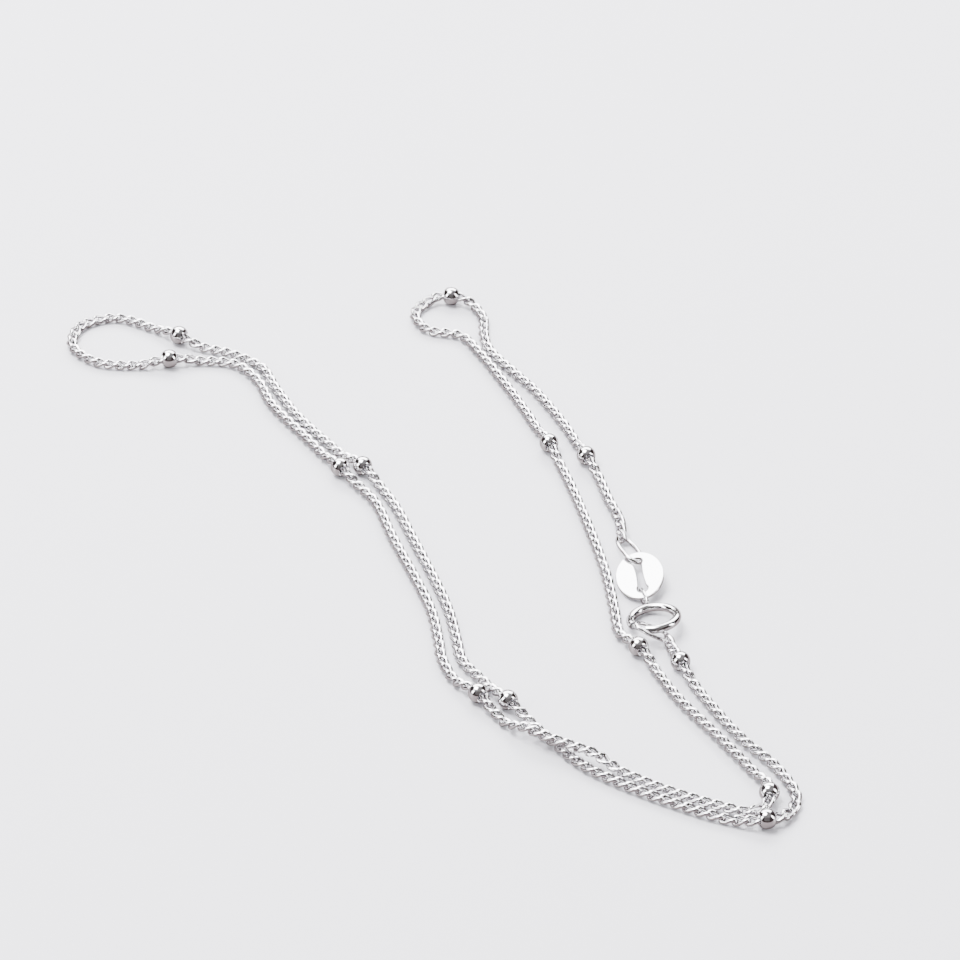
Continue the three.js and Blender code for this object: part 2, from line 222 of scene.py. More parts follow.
class NecklaceChainSizes(bpy.types.PropertyGroup):
    """Sizes of the curb chain's links"""

    link_length: length("Link length", "Outside length of a link", 2.18)
    link_width: length("Link width", "Outside width of a link", 1.3)
    link_wire: length("Link wire", "Diameter of a link's wire, over its corners", 0.44)
    link_twist: length("Link twist", "How far each quarter of a link is lifted or dropped", 0.25)
    end_length: length("End link length", "Outside length of a link on a jump ring", 2.08)
    end_width: length("End link width", "Outside width of a link on a jump ring", 1.25)
    end_wire: length("End link wire", "Diameter of the wire of a link on a jump ring, over its corners", 0.38)
    end_twist: length("End link twist", "How far its quarters are lifted or dropped", 0.21)
    thickness: length("Chain thickness", "Height of the chain where it lies flat", 0.92)
    lie: angle("Lie", "How far the links of a stretch along Y have their -X side raised", 24)
    tag_roll: angle("Tag end roll", "How far the first link is rolled over", -81.3)
    clasp_roll: angle("Clasp end roll", "How far the last link is rolled over", -54.4)
    tag_rolled_links: bpy.props.IntProperty(
        name="Rolled links at the tag", description="Links over which the roll fades out", default=4)
    clasp_rolled_links: bpy.props.IntProperty(
        name="Rolled links at the clasp", description="Links over which the roll fades out", default=4)
    looseness: angle("Looseness", "Nearly all links lie rolled by less than this, either way", 5.0)


class NecklaceBeadSizes(bpy.types.PropertyGroup):
    """Sizes of the round beads"""

    diameter: length("Bead diameter", "Outside diameter", 2.1)
    bore: length("Bead bore", "Diameter of the hole", 1.34)
    wall: length("Bead wall", "Thickness of the hollow bead's sheet", 0.14)


class NecklaceRingSizes(bpy.types.PropertyGroup):
    """Sizes of the two oval jump rings"""

    tag_wire: length("Tag ring wire", "Wire of the ring that holds the tag", 0.44)
    tag_half_length: length("Tag ring half length", "To the middle of the wire", 2.53)
    tag_half_width: length("Tag ring half width", "To the middle of the wire", 1.25)
    end_wire: length("End ring wire", "Wire of the ring that the clasp closes on", 0.40)
    end_half_length: length("End ring half length", "To the middle of the wire", 2.1)
    end_half_width: length("End ring half width", "To the middle of the wire", 1.0)


class NecklaceTagSizes(bpy.types.PropertyGroup):
    """Sizes of the oval tag"""

    half_length: length("Half length", "Half the tag's length", 3.52)
    half_width: length("Half width", "Half the tag's width", 2.56)
    thickness: length("Thickness", "Thickness of the sheet", 0.35)
    edge: length("Edge round", "Radius of the worn edges", 0.07)
    slot_end_radius: length("Slot end radius", "Radius of the slot's round ends", 0.64)
    slot_half_length: length("Slot half length", "Half the slot's length", 2.75)
    slot_waist: length("Slot waist", "Half the slot's width at its middle", 0.38)


class NecklaceClaspSizes(bpy.types.PropertyGroup):
    """Sizes of the spring ring"""

    outer: length("Outer diameter", "Across the ring", 5.8)
    tube: length("Tube diameter", "Outside diameter of the ring's tube", 0.9)
    wall: length("Tube wall", "Thickness of the tube's wall", 0.11)
    gap_at: angle("Gap place", "Where the gap is, from +X", 229)
    gap: angle("Gap", "How wide the gap is", 42)
    bolt_wire: length("Bolt wire", "Diameter of the sliding wire", 0.46)
    bolt_tip: angle("Bolt tip", "How far the closed bolt enters the far tube end", 6)
    bolt_tail: angle("Bolt tail", "How much bolt lies behind the trigger", 8)
    bolt_travel: angle("Bolt travel", "How far the bolt slides", 48)
    trigger_at: angle("Trigger place", "Where the trigger is when closed", 192)
    trigger: length("Trigger diameter", "Diameter of the trigger", 0.3)
    trigger_height: length("Trigger height", "How far it stands under the tube", 0.12)
    eye_at: angle("Eye place", "Where the soldered eye is", 104)
    eye_wire: length("Eye wire", "Diameter of the eye's wire", 0.38)
    eye_half_length: length("Eye half length", "To the middle of the wire", 1.28)
    eye_half_height: length("Eye half height", "To the middle of the wire", 0.5)
    eye_raise: length("Eye raise", "Height over the ring's plane where the eye meets it", 0.33)
    eye_pitch: angle("Eye pitch", "How far the eye's far end is raised", 8.5)
    eye_turn: angle("Eye turn", "How far the eye leans about its own length", 15.2)
    eye_solder: length("Eye solder", "How far the eye's middle line reaches into the tube", 0.14)


class NecklaceSilverLook(bpy.types.PropertyGroup):
    """Colours and polish of the metal"""

    # Painted shade: the chain's, beads', clasp's and edge colours are one silver darkened well below the
    # tag's, the chain's most, for darker mid-tones.
    chain: colour("Chain", "Colour of the links", 0.40, 0.372, 0.386)
    bead: colour("Beads", "Colour of the beads", 0.52, 0.495, 0.505)
    fitting: colour("Clasp and rings", "Colour of the clasp and the jump rings", 0.53, 0.505, 0.525)
    tag: colour("Tag", "Colour of the tag", 0.93, 0.93, 0.95)
    bolt: colour("Bolt", "Colour of the clasp's sliding wire", 0.55, 0.53, 0.54)
    edge: colour("Edge", "Colour of the metal seen along its surface", 0.47, 0.43, 0.45)
    # Painted shade: the near-black colour that the recesses are darkened towards; the small random drift
    # leans towards it too.
    tarnish: colour("Tarnish", "Colour in the recesses", 0.10, 0.08, 0.08)


class NecklaceStageLook(bpy.types.PropertyGroup):
    """The pale surface and the studio light"""

    floor: colour("Floor", "Colour of the surface", 0.79, 0.785, 0.845)
    # Painted shade: in the metal's reflections the surface shows this darker colour instead of its own.
    reflected_floor: colour("Reflected floor", "Colour of the surface in the metal", 0.17, 0.145, 0.15)
    surroundings: colour("Surroundings", "What the metal reflects between the lights", 0.055, 0.042, 0.042)
    backdrop: colour("Backdrop", "What shows past the surface", 0.83, 0.825, 0.87)


GROUPS = {
    "necklace_chain": NecklaceChainSizes,
    "necklace_beads": NecklaceBeadSizes,
    "necklace_rings": NecklaceRingSizes,
    "necklace_tag": NecklaceTagSizes,
    "necklace_clasp": NecklaceClaspSizes,
    "necklace_silver": NecklaceSilverLook,
    "necklace_stage": NecklaceStageLook,
}


def sizes_in_mm(group):
    """The group's lengths in millimetres and its other values as they are, by name."""
    values = {}
    for name, prop in group.bl_rna.properties.items():
        if name in ("rna_type", "name"):
            continue
        value = getattr(group, name)
        values[name] = value / MM if prop.unit == "LENGTH" else value
    return values


# ---------------------------------------------------------------- finishes
def fill(node, values):
    """Sets a node's inputs by name, each to a value or to another node's output."""
    for name, value in values.items():
        if isinstance(value, bpy.types.NodeSocket):
            node.id_data.links.new(value, node.inputs[name])
        else:
            node.inputs[name].default_value = value


def new_group(name, inputs, outputs):
    """An empty shader node group with its input and output nodes."""
    tree = bpy.data.node_groups.new(name, "ShaderNodeTree")
    for title, kind, default in inputs:
        socket = tree.interface.new_socket(name=title, in_out="INPUT", socket_type=f"NodeSocket{kind}")
        socket.default_value = default
    for title, kind in outputs:
        tree.interface.new_socket(name=title, in_out="OUTPUT", socket_type=f"NodeSocket{kind}")
    return tree, tree.nodes.new("NodeGroupInput"), tree.nodes.new("NodeGroupOutput")


def maths(tree, operation, first, second):
    node = tree.nodes.new("ShaderNodeMath")
    node.operation = operation
    tree.links.new(first, node.inputs[0])
    tree.links.new(second, node.inputs[1])
    return node.outputs["Value"]


def ramp(tree, value, low, high, out_low=0.0, out_high=1.0):
    """value, stretched from low..high to out_low..out_high and clamped."""
    node = tree.nodes.new("ShaderNodeMapRange")
    fill(node, {"Value": value, "From Min": low, "From Max": high, "To Min": out_low, "To Max": out_high})
    return node.outputs["Result"]


def noise(tree, place, scale, detail, roughness=0.5):
    node = tree.nodes.new("ShaderNodeTexNoise")
    fill(node, {"Vector": place, "Scale": scale, "Detail": detail, "Roughness": roughness})
    return node.outputs["Fac"]


def mixed_colour(tree, share, first, second):
    """The first colour, turning to the second as share goes from 0 to 1."""
    node = tree.nodes.new("ShaderNodeMix")
    node.data_type = "RGBA"
    fill(node, {"Factor": share, "A": first, "B": second})
    return node.outputs["Result"]


def object_place(tree):
    return tree.nodes.new("ShaderNodeTexCoord").outputs["Object"]


def polish_group():
    """Polished metal: buffing marks, soft dents and fine scratches, as a roughness and a normal."""
    tree, start, end = new_group(
        "polish",
        [("Smooth", "Float", 0.06), ("Rough", "Float", 0.2), ("Grain per metre", "Float", 4000.0),
         ("Dents", "Float", 0.05), ("Scratches", "Float", 0.02)],
        [("Roughness", "Float"), ("Normal", "Vector")])
    place = object_place(tree)
    cloud = noise(tree, place, scale=start.outputs["Grain per metre"], detail=4.0)
    patches = ramp(tree, cloud, low=0.35, high=0.68)
    roughness = ramp(
        tree, patches, low=0.0, high=1.0, out_low=start.outputs["Smooth"], out_high=start.outputs["Rough"])
    stretch = tree.nodes.new("ShaderNodeMapping")
    fill(stretch, {"Vector": place, "Rotation": (0.4, 0.2, 0.9), "Scale": (1.0, 14.0, 9.0)})
    marks = noise(tree, stretch.outputs["Vector"], scale=1500.0, detail=3.0, roughness=0.6)
    swell = noise(tree, place, scale=1400.0, detail=1.0)
    height = maths(
        tree, "ADD",
        maths(tree, "MULTIPLY", swell, start.outputs["Dents"]),
        maths(tree, "MULTIPLY", marks, start.outputs["Scratches"]))
    bump = tree.nodes.new("ShaderNodeBump")
    fill(bump, {"Strength": 1.0, "Distance": 0.0001, "Height": height})
    fill(end, {"Roughness": roughness, "Normal": bump.outputs["Normal"]})
    return tree


def tone_and_painted_shade_group():
    """Metal colour with shade painted into the recesses, drifting a little over the surface."""
    tree, start, end = new_group(
        "metal_tone",
        [("Metal", "Color", (0.9, 0.9, 0.9, 1)), ("Tarnish", "Color", (0.3, 0.28, 0.27, 1)),
         ("Recess", "Float", 0.0), ("Depth", "Float", 0.5), ("Drift", "Float", 0.06)],
        [("Color", "Color")])
    place = object_place(tree)
    broad = ramp(tree, noise(tree, place, scale=900.0, detail=3.0), low=0.3, high=0.75)
    drift = maths(tree, "MULTIPLY", broad, start.outputs["Drift"])
    speckle = noise(tree, place, scale=5200.0, detail=3.0)
    fine = ramp(tree, speckle, low=0.3, high=0.7, out_low=0.6, out_high=1.15)
    # Painted shade: the attribute, times the depth, darkens the colour in the recesses.
    recess = maths(tree, "MULTIPLY", start.outputs["Recess"], start.outputs["Depth"])
    amount = maths(tree, "ADD", maths(tree, "MULTIPLY", recess, fine), drift)
    fill(end, {"Color": mixed_colour(tree, amount, start.outputs["Metal"], start.outputs["Tarnish"])})
    return tree


def placed_group(tree, builder):
    """The group, built once and placed in a material's tree."""
    name = {polish_group: "polish", tone_and_painted_shade_group: "metal_tone"}[builder]
    node = tree.nodes.new("ShaderNodeGroup")
    node.node_tree = bpy.data.node_groups.get(name) or builder()
    return node


# colour names one of NecklaceSilverLook's; the second field says how dark the painted shade in the recesses
# is;
# smooth and rough are the roughness of the two kinds of patch; dents and scratches are heights in tenths of a
# millimetre.
Finish = namedtuple("Finish", "colour tarnish smooth rough dents scratches")
FINISHES = {
    "chain_silver": Finish("chain", tarnish=0.9, smooth=0.07, rough=0.2, dents=0.04, scratches=0.02),
    "bead_silver": Finish("bead", tarnish=0.9, smooth=0.03, rough=0.11, dents=0.03, scratches=0.012),
    "clasp_silver": Finish("fitting", tarnish=0.9, smooth=0.035, rough=0.12, dents=0.04, scratches=0.015),
    "tag_silver": Finish("tag", tarnish=0.35, smooth=0.09, rough=0.2, dents=0.02, scratches=0.015),
    "spring_steel": Finish("bolt", tarnish=0.4, smooth=0.1, rough=0.25, dents=0.03, scratches=0.04),
}


def metal(slot):
    """A slot's polished metal; an attribute of the piece's own says where shade is painted into its colour.
    """
    if slot in bpy.data.materials:
        return bpy.data.materials[slot]
    look = bpy.context.scene.necklace_silver
    finish = FINISHES[slot]
    material = bpy.data.materials.new(slot)
    material.use_nodes = True
    tree = material.node_tree
    # Painted shade: this attribute says how far the colour is darkened into shade.
    recess = tree.nodes.new("ShaderNodeAttribute")
    recess.attribute_name = "recess"
    tone = placed_group(tree, tone_and_painted_shade_group)
    fill(tone, {
        "Metal": (*getattr(look, finish.colour), 1.0), "Tarnish": (*look.tarnish, 1.0),
        "Recess": recess.outputs["Fac"], "Depth": finish.tarnish})
    polish = placed_group(tree, polish_group)
    fill(polish, {
        "Smooth": finish.smooth, "Rough": finish.rough, "Dents": finish.dents, "Scratches": finish.scratches})
    fill(tree.nodes["Principled BSDF"], {
        "Base Color": tone.outputs["Color"], "Metallic": 1.0, "Specular Tint": (*look.edge, 1.0),
        "Roughness": polish.outputs["Roughness"], "Normal": polish.outputs["Normal"]})
    return material


# ---------------------------------------------------------------- shapes shared by several pieces
def placed(centre, heading=0.0, pitch=0.0, roll=0.0):
    """heading turns the piece about Z, pitch raises its far end, roll its left side."""
    turn = (Matrix.Rotation(heading, 4, "Z") @ Matrix.Rotation(-pitch, 4, "Y")
            @ Matrix.Rotation(roll, 4, "X"))
    return Matrix.Translation(centre) @ turn


def centre_in_mm(node):
    low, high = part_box(node)
    return (Vector(low) + Vector(high)) / 2 / MM


def oval_path(half_length, half_width, twist=0.0):
    """Centre, outward and upward direction of an oval wire at an angle round it."""
    def at(turn):
        centre = Vector((
            half_length * math.cos(turn), half_width * math.sin(turn), twist * math.sin(2 * turn)))
        along = Vector((
            -half_length * math.sin(turn), half_width * math.cos(turn), 2 * twist * math.cos(2 * turn)))
        along.normalize()
        outward = along.cross(UP).normalized()
        return centre, outward, outward.cross(along)
    return at


def once_each(items):
    """The items without repeats, in the order they come in."""
    return list(dict.fromkeys(items))


def spin_circle(bm, diameter, radius, start, angle, steps, sides, closed):
    """A circle upright at an angle and a radius about Z, spun on about Z by another angle."""
    matrix = (Matrix.Rotation(start, 4, "Z") @ Matrix.Translation((radius, 0, 0))
              @ Matrix.Rotation(math.pi / 2, 4, "X"))
    verts = bmesh.ops.create_circle(bm, segments=sides, radius=diameter / 2, matrix=matrix)["verts"]
    edges = once_each(edge for vert in verts for edge in vert.link_edges)
    bmesh.ops.spin(
        bm, geom=[*verts, *edges], cent=(0, 0, 0), axis=UP, angle=angle, steps=steps, use_merge=closed)


def wire_loop(bm, path, wire, steps, sides):
    """A closed wire: a torus spun from a circle, then drawn out along the path."""
    recess = bm.verts.layers.float.get("recess") or bm.verts.layers.float.new("recess")
    before = set(bm.verts)
    spun_radius = 4 * wire  # any radius that keeps the circle clear of the axis
    spin_circle(bm, wire, spun_radius, 0.0, 2 * math.pi, steps, sides, closed=True)
    loop = [vert for vert in bm.verts if vert not in before]
    for vert in loop:
        out = math.hypot(vert.co.x, vert.co.y) - spun_radius
        centre, outward, upward = path(math.atan2(vert.co.y, vert.co.x))
        # Painted shade: the inside of the loop, where the links shade each other, is darkened most.
        vert[recess] = 0.5 - 0.5 * out / (wire / 2)  # 0 on the loop's outside, 1 on its inside
        vert.co = centre + outward * out + upward * vert.co.z
    return loop


def finish_piece(name, bm, node, body, slot, sharp=None, flat=()):
    """Makes the bmesh a finished piece in metres that stands for a CAD node and rides on its body."""
    bmesh.ops.transform(bm, matrix=Matrix.Scale(MM, 4), verts=bm.verts)
    bmesh.ops.recalc_face_normals(bm, faces=bm.faces)
    for face in bm.faces:
        face.smooth = face not in flat
    mesh = bpy.data.meshes.new(name)
    bm.to_mesh(mesh)
    bm.free()
    if sharp is not None:
        mesh.set_sharp_from_angle(angle=sharp)
    mesh.materials.append(metal(slot))
    piece = bpy.data.objects.new(name, mesh)
    bpy.context.scene.collection.objects.link(piece)
    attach(piece, body)
    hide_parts(node)


# ---------------------------------------------------------------- the chain
def curb_link(bm, sizes, kind):
    """A link of the strands ("link") or one that hangs on a jump ring ("end")."""
    wire = sizes[f"{kind}_wire"]
    half_length, half_width = (
        (sizes[f"{kind}_{name}"] - wire) / 2 for name in ("length", "width"))
    path = oval_path(half_length, half_width, -sizes[f"{kind}_twist"])
    return wire_loop(bm, path, wire, steps=14, sides=6)


class ChainLay:
    """Where each link of the chain lies."""

    def __init__(self, scene):
        self.sizes = sizes_in_mm(scene.necklace_chain)
        beads = sizes_in_mm(scene.necklace_beads)
        self.route = Route(beads["diameter"], beads["bore"], self.sizes["thickness"])
        first_bead = self.route.place_at(self.route.bead_ways[0])
        self.shift = centre_in_mm("bead_01") - first_bead
        self.shift.z = 0.0
        half_length, half_width = (
            (self.sizes[name] - self.sizes["link_wire"]) / 2 for name in ("link_length", "link_width"))
        middle_line = oval_path(half_length, half_width, -self.sizes["link_twist"])
        self.link_spots = [middle_line(math.radians(turn))[0] for turn in range(0, 360, 10)]
        self.tag_end_height, self.clasp_end_height = (
            centre_in_mm(f"chain_end_link_{end}").z for end in ("tag", "clasp"))

    def link_place(self, number):
        """Near the ends a link rolls and rises with the end link; none sinks into the surface."""
        sizes = self.sizes
        way = number * self.route.pitch
        from_tag = max(0.0, 1 - number / sizes["tag_rolled_links"])
        from_clasp = max(0.0, 1 - (LINK_COUNT - number) / sizes["clasp_rolled_links"])
        lie = sizes["lie"] * math.sin(self.route.heading_at(way)) * (1 - from_tag - from_clasp)
        loose = random.Random(number).gauss(0.0, sizes["looseness"] / 2)
        roll = sizes["tag_roll"] * from_tag + sizes["clasp_roll"] * from_clasp + lie + loose
        place = self.route.place_at(way) + self.shift
        place.z = max(place.z, self.tag_end_height * from_tag, self.clasp_end_height * from_clasp)
        laid = placed(place, self.route.heading_at(way), self.route.slope_at(way), roll)
        lowest = min((laid @ spot).z for spot in self.link_spots) - sizes["link_wire"] / 2
        return Matrix.Translation((0, 0, max(0.0, -lowest))) @ laid

    def bead_place(self, index):
        way = self.route.bead_ways[index]
        place = self.route.place_at(way) + self.shift
        place.z = self.route.bead_height
        return placed(place, self.route.heading_at(way))


class NECKLACE_OT_chain(bpy.types.Operator):
    """String the curb links of both strands along the chain's route"""

    bl_idname = "necklace.chain"
    bl_label = "Chain Links"
    bl_options = {"REGISTER", "UNDO"}

    def execute(self, context):
        lay = ChainLay(context.scene)
        strands = (
            ("long_strand_links", "chain_long_strand", 1, FOLD_LINK - 1),
            ("short_strand_links", "chain_short_strand", FOLD_LINK, LINK_COUNT - 1),
        )
        for name, node, first, last in strands:
            bm = bmesh.new()
            pattern = curb_link(bm, lay.sizes, "link")
            shape = [*pattern, *bm.edges, *bm.faces]
            for number in range(first, last + 1):
                copy = bmesh.ops.duplicate(bm, geom=shape)["geom"]
                verts = [item for item in copy if isinstance(item, bmesh.types.BMVert)]
                bmesh.ops.transform(bm, matrix=lay.link_place(number), verts=verts)
            bmesh.ops.delete(bm, geom=pattern, context="VERTS")
            finish_piece(name, bm, node, BODY, "chain_silver")
        return {"FINISHED"}


class NECKLACE_OT_end_links(bpy.types.Operator):
    """Place the chain's first and last links on their jump rings"""

    bl_idname = "necklace.end_links"
    bl_label = "End Links"
    bl_options = {"REGISTER", "UNDO"}

    def execute(self, context):
        lay = ChainLay(context.scene)
        ends = (
            ("tag_end_link", "chain_end_link_tag", 0.0, lay.sizes["tag_roll"]),
            ("clasp_end_link", "chain_end_link_clasp", lay.route.length, lay.sizes["clasp_roll"]),
        )
        for name, node, way, roll in ends:
            bm = bmesh.new()
            curb_link(bm, lay.sizes, "end")
            place = placed(centre_in_mm(node), lay.route.heading_at(way), 0.0, roll)
            bmesh.ops.transform(bm, matrix=place, verts=bm.verts)
            finish_piece(name, bm, node, BODY, "chain_silver")
        return {"FINISHED"}


# ---------------------------------------------------------------- beads
class NECKLACE_OT_beads(bpy.types.Operator):
    """Make the hollow round beads that the chain runs through"""

    bl_idname = "necklace.beads"
    bl_label = "Round Beads"
    bl_options = {"REGISTER", "UNDO"}

    rings = 12
    sides = 36
    lip_reach = 0.02  # the lips' edges lie this near to the bore's radius, in mm
    lip_round = 0.32  # how far the lips are rounded, as a share of the wall
    level = 1e-4  # an edge whose ends' X differ by less runs round the hole
    # Painted shade: under its outside the bead is darkened, as if in shade.
    dark_from = 0.03  # how far under the outside the bead starts to darken, in mm
    dark_over = 0.05  # how much deeper it is at its darkest, in mm

    def profile(self, bm, sizes):
        """Half a bead's section in the XY plane, about the X axis: outside, lip, inside, lip."""
        outer = sizes["diameter"] / 2
        inner = outer - sizes["wall"]
        mouth = sizes["bore"] / 2
        outside = math.acos(mouth / outer)
        inside = math.acos(mouth / inner)
        spots = []
        for step in range(self.rings + 1):
            turn = -outside + 2 * outside * step / self.rings
            spots.append((outer * math.sin(turn), outer * math.cos(turn)))
        for step in range(self.rings + 1):
            turn = inside - 2 * inside * step / self.rings
            spots.append((inner * math.sin(turn), inner * math.cos(turn)))
        verts = [bm.verts.new((x, y, 0)) for x, y in spots]
        return verts, [bm.edges.new((a, b)) for a, b in zip(verts, [*verts[1:], verts[0]])]

    def execute(self, context):
        lay = ChainLay(context.scene)
        sizes = sizes_in_mm(context.scene.necklace_beads)
        for index in range(len(BEAD_SPACING)):
            bm = bmesh.new()
            verts, edges = self.profile(bm, sizes)
            bmesh.ops.spin(
                bm, geom=[*verts, *edges], cent=(0, 0, 0), axis=(1, 0, 0), angle=2 * math.pi,
                steps=self.sides, use_merge=True)
            lip_radius = sizes["bore"] / 2 + self.lip_reach
            lips = [edge for edge in bm.edges
                    if all(math.hypot(v.co.y, v.co.z) < lip_radius for v in edge.verts)
                    and abs(edge.verts[0].co.x - edge.verts[1].co.x) < self.level]
            bmesh.ops.bevel(
                bm, geom=lips, offset=sizes["wall"] * self.lip_round, segments=3, profile=0.5,
                affect="EDGES", material=-1)
            # Painted shade inside the bead's shell and bore.
            recess = bm.verts.layers.float.new("recess")
            for vert in bm.verts:
                under = sizes["diameter"] / 2 - self.dark_from - vert.co.length
                vert[recess] = min(max(under / self.dark_over, 0.0), 1.0)
            bmesh.ops.transform(bm, matrix=lay.bead_place(index), verts=bm.verts)
            number = f"{index + 1:02d}"
            finish_piece(f"round_bead_{number}", bm, f"bead_{number}", BODY, "bead_silver")
        return {"FINISHED"}


# ---------------------------------------------------------------- jump rings
class NECKLACE_OT_jump_rings(bpy.types.Operator):
    """Make the two oval jump rings: the tag's, and the one that the clasp closes on"""

    bl_idname = "necklace.jump_rings"
    bl_label = "Jump Rings"
    bl_options = {"REGISTER", "UNDO"}

    # Heading, pitch and roll of each ring, in degrees.
    leaning = {"tag": (106.3, -5.6, 28), "end": (-10.4, -22.6, -13.7)}

    def execute(self, context):
        sizes = sizes_in_mm(context.scene.necklace_rings)
        for side, turns in self.leaning.items():
            node = f"{side}_jump_ring"
            bm = bmesh.new()
            path = oval_path(sizes[f"{side}_half_length"], sizes[f"{side}_half_width"])
            wire_loop(bm, path, sizes[f"{side}_wire"], steps=72, sides=16)
            place = placed(centre_in_mm(node), *map(math.radians, turns))
            bmesh.ops.transform(bm, matrix=place, verts=bm.verts)
            finish_piece(f"{side}_ring_wire", bm, node, BODY, "clasp_silver")
        return {"FINISHED"}


# ---------------------------------------------------------------- tag
class NECKLACE_OT_tag(bpy.types.Operator):
    """Make the plain oval tag with its dumbbell slot"""

    bl_idname = "necklace.tag"
    bl_label = "Oval Tag"
    bl_options = {"REGISTER", "UNDO"}

    heading, pitch, roll = math.radians(96.8), math.radians(3.3), math.radians(-13.5)
    sides = 96
    level = 0.999  # a face whose normal's Z is over this is part of the top or the underside

    def slot_outline(self, sizes):
        """The dumbbell slot's outline, alike in its four quarters, as evenly spaced points."""
        radius, reach, waist = sizes["slot_end_radius"], sizes["slot_half_length"], sizes["slot_waist"]
        end = reach - radius
        opening = math.radians(130)
        shoulder = end + radius * math.cos(opening)
        side = radius * math.sin(opening)
        bow = 2 * waist - side
        steps = 200
        fine = []
        for step in range(steps):
            turn = opening * step / steps
            fine.append(Vector((end + radius * math.cos(turn), radius * math.sin(turn), 0)))
        for step in range(steps + 1):
            t = 0.5 * step / steps
            x = shoulder * (1 - t) ** 2 - shoulder * t ** 2
            y = side * (1 - t) ** 2 + 2 * bow * t * (1 - t) + side * t ** 2
            fine.append(Vector((x, y, 0)))
        ways = [0.0]
        for before, after in zip(fine, fine[1:]):
            ways.append(ways[-1] + (after - before).length)
        quarter = []
        for index in range(self.sides // 4):
            way = ways[-1] * index / (self.sides // 4)
            quarter.append(fine[min(bisect_right(ways, way), len(fine) - 1)])
        waist_spot = Vector((0, fine[-1].y, 0))
        outline = [*quarter, waist_spot]
        outline += [Vector((-v.x, v.y, 0)) for v in reversed(quarter)]
        outline += [Vector((v.x, -v.y, 0)) for v in reversed(outline[1:-1])]
        return outline

    def execute(self, context):
        sizes = sizes_in_mm(context.scene.necklace_tag)
        bm = bmesh.new()
        rim = bmesh.ops.create_circle(bm, segments=self.sides, radius=1.0)["verts"]
        bmesh.ops.scale(bm, vec=(sizes["half_length"], sizes["half_width"], 1), verts=rim)
        inner = [bm.verts.new(spot) for spot in self.slot_outline(sizes)]
        for first, second in zip(inner, [*inner[1:], inner[0]]):
            bm.edges.new((first, second))
        bmesh.ops.bridge_loops(bm, edges=bm.edges[:])
        bmesh.ops.translate(bm, vec=(0, 0, -sizes["thickness"] / 2), verts=bm.verts)
        raised = bmesh.ops.extrude_face_region(bm, geom=bm.faces[:], use_keep_orig=True)["geom"]
        top = [item for item in raised if isinstance(item, bmesh.types.BMVert)]
        bmesh.ops.translate(bm, vec=(0, 0, sizes["thickness"]), verts=top)
        bmesh.ops.recalc_face_normals(bm, faces=bm.faces)
        corners = [edge for edge in bm.edges if edge.is_manifold and edge.calc_face_angle() > CORNER]
        bmesh.ops.bevel(
            bm, geom=corners, offset=sizes["edge"], segments=4, profile=0.5, affect="EDGES", material=-1)
        bm.normal_update()
        faces = {face for face in bm.faces if abs(face.normal.z) > self.level}
        place = placed(centre_in_mm("oval_tag"), self.heading, self.pitch, self.roll)
        bmesh.ops.transform(bm, matrix=place, verts=bm.verts)
        finish_piece("tag_plate", bm, "oval_tag", BODY, "tag_silver", flat=faces)
        return {"FINISHED"}


# ---------------------------------------------------------------- spring ring
class SpringRing:
    """The spring ring's place and radius, shared by its tube and its bolt."""

    def __init__(self, scene):
        self.sizes = sizes_in_mm(scene.necklace_clasp)
        self.radius = (self.sizes["outer"] - self.sizes["tube"]) / 2
        joint = frame["joints"][0]
        axis = -Vector(joint["axis"]).normalized()
        across = Vector((0, 1, 0)).cross(axis).normalized()
        turn = Matrix((across, axis.cross(across), axis)).transposed().to_4x4()
        self.place = Matrix.Translation(Vector(joint["pos_m"]) / MM) @ turn
        self.gap_from = self.sizes["gap_at"] - self.sizes["gap"] / 2
        self.gap_to = self.sizes["gap_at"] + self.sizes["gap"] / 2

    def sweep(self, bm, diameter, start, end, steps, sides):
        """A tube round the ring's axis from one angle to another, open at both ends."""
        spin_circle(bm, diameter, self.radius, start, end - start, steps, sides, closed=False)


